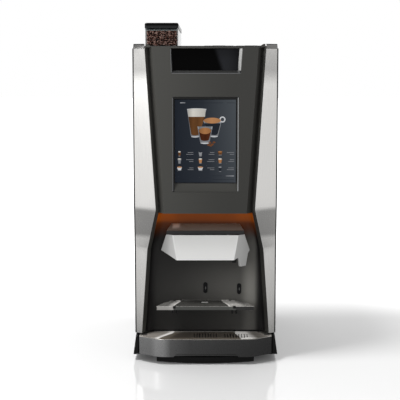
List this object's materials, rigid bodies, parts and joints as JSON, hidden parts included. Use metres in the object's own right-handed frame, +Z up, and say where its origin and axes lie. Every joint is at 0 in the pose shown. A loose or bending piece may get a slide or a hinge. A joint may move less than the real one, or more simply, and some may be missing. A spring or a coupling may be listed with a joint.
{
  "type": "hot coffee vending machine",
  "caption": "Tabletop bean-to-cup coffee machine: hinged door with portrait touch screen, lit alcove, fold-up cup shelf, drip tray and lift-off bean hopper.",
  "frame": {"origin": "on the floor under the centre of the machine's overall footprint", "axes": "+Z up, +X to the viewer's right when facing the door, +Y to the back, so the front looks along -Y"},
  "size_m": [0.415, 0.586, 0.965],
  "materials": {
    "black_plastic": "satin, fine moulded grain",
    "door_plastic": "dark warm grey, fine satin grain",
    "liner_plastic": "dark grey satin",
    "dark_steel": "fine texture powder coat",
    "bright_trim": "finely brushed silver",
    "polished_steel": "smooth bright steel",
    "zinc_sheet": "plain zinc-plated sheet",
    "gloss_black": "high gloss",
    "screen_glass": "gloss touch glass over a lit picture",
    "satin_white": "satin",
    "amber_led": "lit diffuser",
    "sensor_black": "infrared window",
    "clear_plastic": "clear moulded",
    "bezel_grey": "satin metallic grey",
    "steel_parts": "plain metal",
    "white_nylon": "white moulded",
    "silicone": "translucent silicone",
    "brass_fitting": "turned",
    "board_green": "circuit board",
    "foot_rubber": "rubber pad"
  },
  "bodies": {
    "cabinet": {"base_pan": "black_plastic", "plinth": "black_plastic", "levelling_feet": "foot_rubber", "chassis": "zinc_sheet", "side_panels": "dark_steel", "back_panel": "dark_steel", "top_cover": "black_plastic", "hinge_brackets": "steel_parts", "grinder_housing": "steel_parts", "grinder_motor": "steel_parts", "coffee_chute": "black_plastic", "brewer_frame": "black_plastic", "brew_chamber": "white_nylon", "brewer_motor": "steel_parts", "waste_bin": "black_plastic", "canister_lids": "black_plastic", "powder_canisters": "clear_plastic", "dosing_motors": "steel_parts", "mixing_bowls": "white_nylon", "mixer_motors": "steel_parts", "outlet_hoses": "silicone", "boiler_tank": "polished_steel", "water_pump": "steel_parts", "inlet_valve": "brass_fitting", "mains_inlet": "black_plastic", "power_supply": "zinc_sheet", "control_board": "board_green", "fan_housing": "black_plastic", "water_pipes": "polished_steel"},
    "door": {"door_shell": "door_plastic", "door_frame": "dark_steel", "trim_left": "bright_trim", "trim_right": "bright_trim", "alcove_liner": "liner_plastic", "sensor_lenses": "sensor_black", "screen_bezel": "gloss_black", "touch_glass": "screen_glass", "display_module": "zinc_sheet", "header_bezel": "bezel_grey", "header_panel": "gloss_black", "led_strip": "amber_led", "spout_hood": "liner_plastic", "coffee_outlet": "black_plastic", "water_nozzle": "black_plastic", "shelf_brackets": "black_plastic"},
    "lock": {"lock_cylinder": "steel_parts"},
    "spout_cover": {"spout_cover": "satin_white"},
    "cup_shelf": {"cup_shelf": "polished_steel"},
    "drip_tray": {"drip_tray": "door_plastic"},
    "drip_grid": {"drip_grid": "polished_steel"},
    "bean_hopper": {"bean_hopper": "clear_plastic"},
    "hopper_gate": {"hopper_gate": "steel_parts"},
    "hopper_lid": {"hopper_lid": "gloss_black"},
    "grinder_burr": {"grinder_burr": "steel_parts"},
    "brew_piston": {"brew_piston": "steel_parts"},
    "auger_left": {"auger_left": "white_nylon"},
    "auger_right": {"auger_right": "white_nylon"},
    "whipper_left": {"whipper_left": "white_nylon"},
    "whipper_right": {"whipper_right": "white_nylon"},
    "fan_impeller": {"fan_impeller": "black_plastic"}
  },
  "joints": [
    {"name": "door_hinge", "type": "hinge", "parent": "cabinet", "child": "door", "pos_m": [-0.1955, -0.1965, 0.48], "axis": [0, 0, 1], "range_deg": [-110, 0]},
    {"name": "lock_turn", "type": "hinge", "parent": "door", "child": "lock", "pos_m": [0.2, -0.212, 0.6], "axis": [1, 0, 0], "range_deg": [-90, 0]},
    {"name": "spout_cover_pull", "type": "slide", "parent": "door", "child": "spout_cover", "axis": [0, -1, 0], "range_m": [0, 0.06]},
    {"name": "cup_shelf_fold", "type": "hinge", "parent": "door", "child": "cup_shelf", "pos_m": [0, -0.212, 0.164], "axis": [1, 0, 0], "range_deg": [-84, 0]},
    {"name": "drip_tray_slide", "type": "slide", "parent": "cabinet", "child": "drip_tray", "axis": [0, -1, 0], "range_m": [0, 0.1]},
    {"name": "drip_grid_lift", "type": "slide", "parent": "drip_tray", "child": "drip_grid", "axis": [0, 0, 1], "range_m": [0, 0.05]},
    {"name": "hopper_lift", "type": "slide", "parent": "cabinet", "child": "bean_hopper", "axis": [0, 0, 1], "range_m": [0, 0.11]},
    {"name": "hopper_lid_lift", "type": "slide", "parent": "bean_hopper", "child": "hopper_lid", "axis": [0, 0, 1], "range_m": [0, 0.04]},
    {"name": "hopper_gate_slide", "type": "slide", "parent": "bean_hopper", "child": "hopper_gate", "axis": [0, -1, 0], "range_m": [0, 0.04]},
    {"name": "grinder_burr_spin", "type": "hinge", "parent": "cabinet", "child": "grinder_burr", "pos_m": [-0.125, -0.04, 0.71], "axis": [0, 0, 1], "continuous": true},
    {"name": "brew_piston_slide", "type": "slide", "parent": "cabinet", "child": "brew_piston", "axis": [0, 0, 1], "range_m": [0, 0.045]},
    {"name": "auger_left_spin", "type": "hinge", "parent": "cabinet", "child": "auger_left", "pos_m": [0.039, -0.05, 0.62], "axis": [0, 1, 0], "continuous": true},
    {"name": "auger_right_spin", "type": "hinge", "parent": "cabinet", "child": "auger_right", "pos_m": [0.131, -0.05, 0.62], "axis": [0, 1, 0], "continuous": true},
    {"name": "whipper_left_spin", "type": "hinge", "parent": "cabinet", "child": "whipper_left", "pos_m": [0.039, -0.13, 0.505], "axis": [0, 1, 0], "continuous": true},
    {"name": "whipper_right_spin", "type": "hinge", "parent": "cabinet", "child": "whipper_right", "pos_m": [0.131, -0.13, 0.505], "axis": [0, 1, 0], "continuous": true},
    {"name": "fan_spin", "type": "hinge", "parent": "cabinet", "child": "fan_impeller", "pos_m": [-0.11, 0.265, 0.73], "axis": [0, 1, 0], "continuous": true}
  ]
}
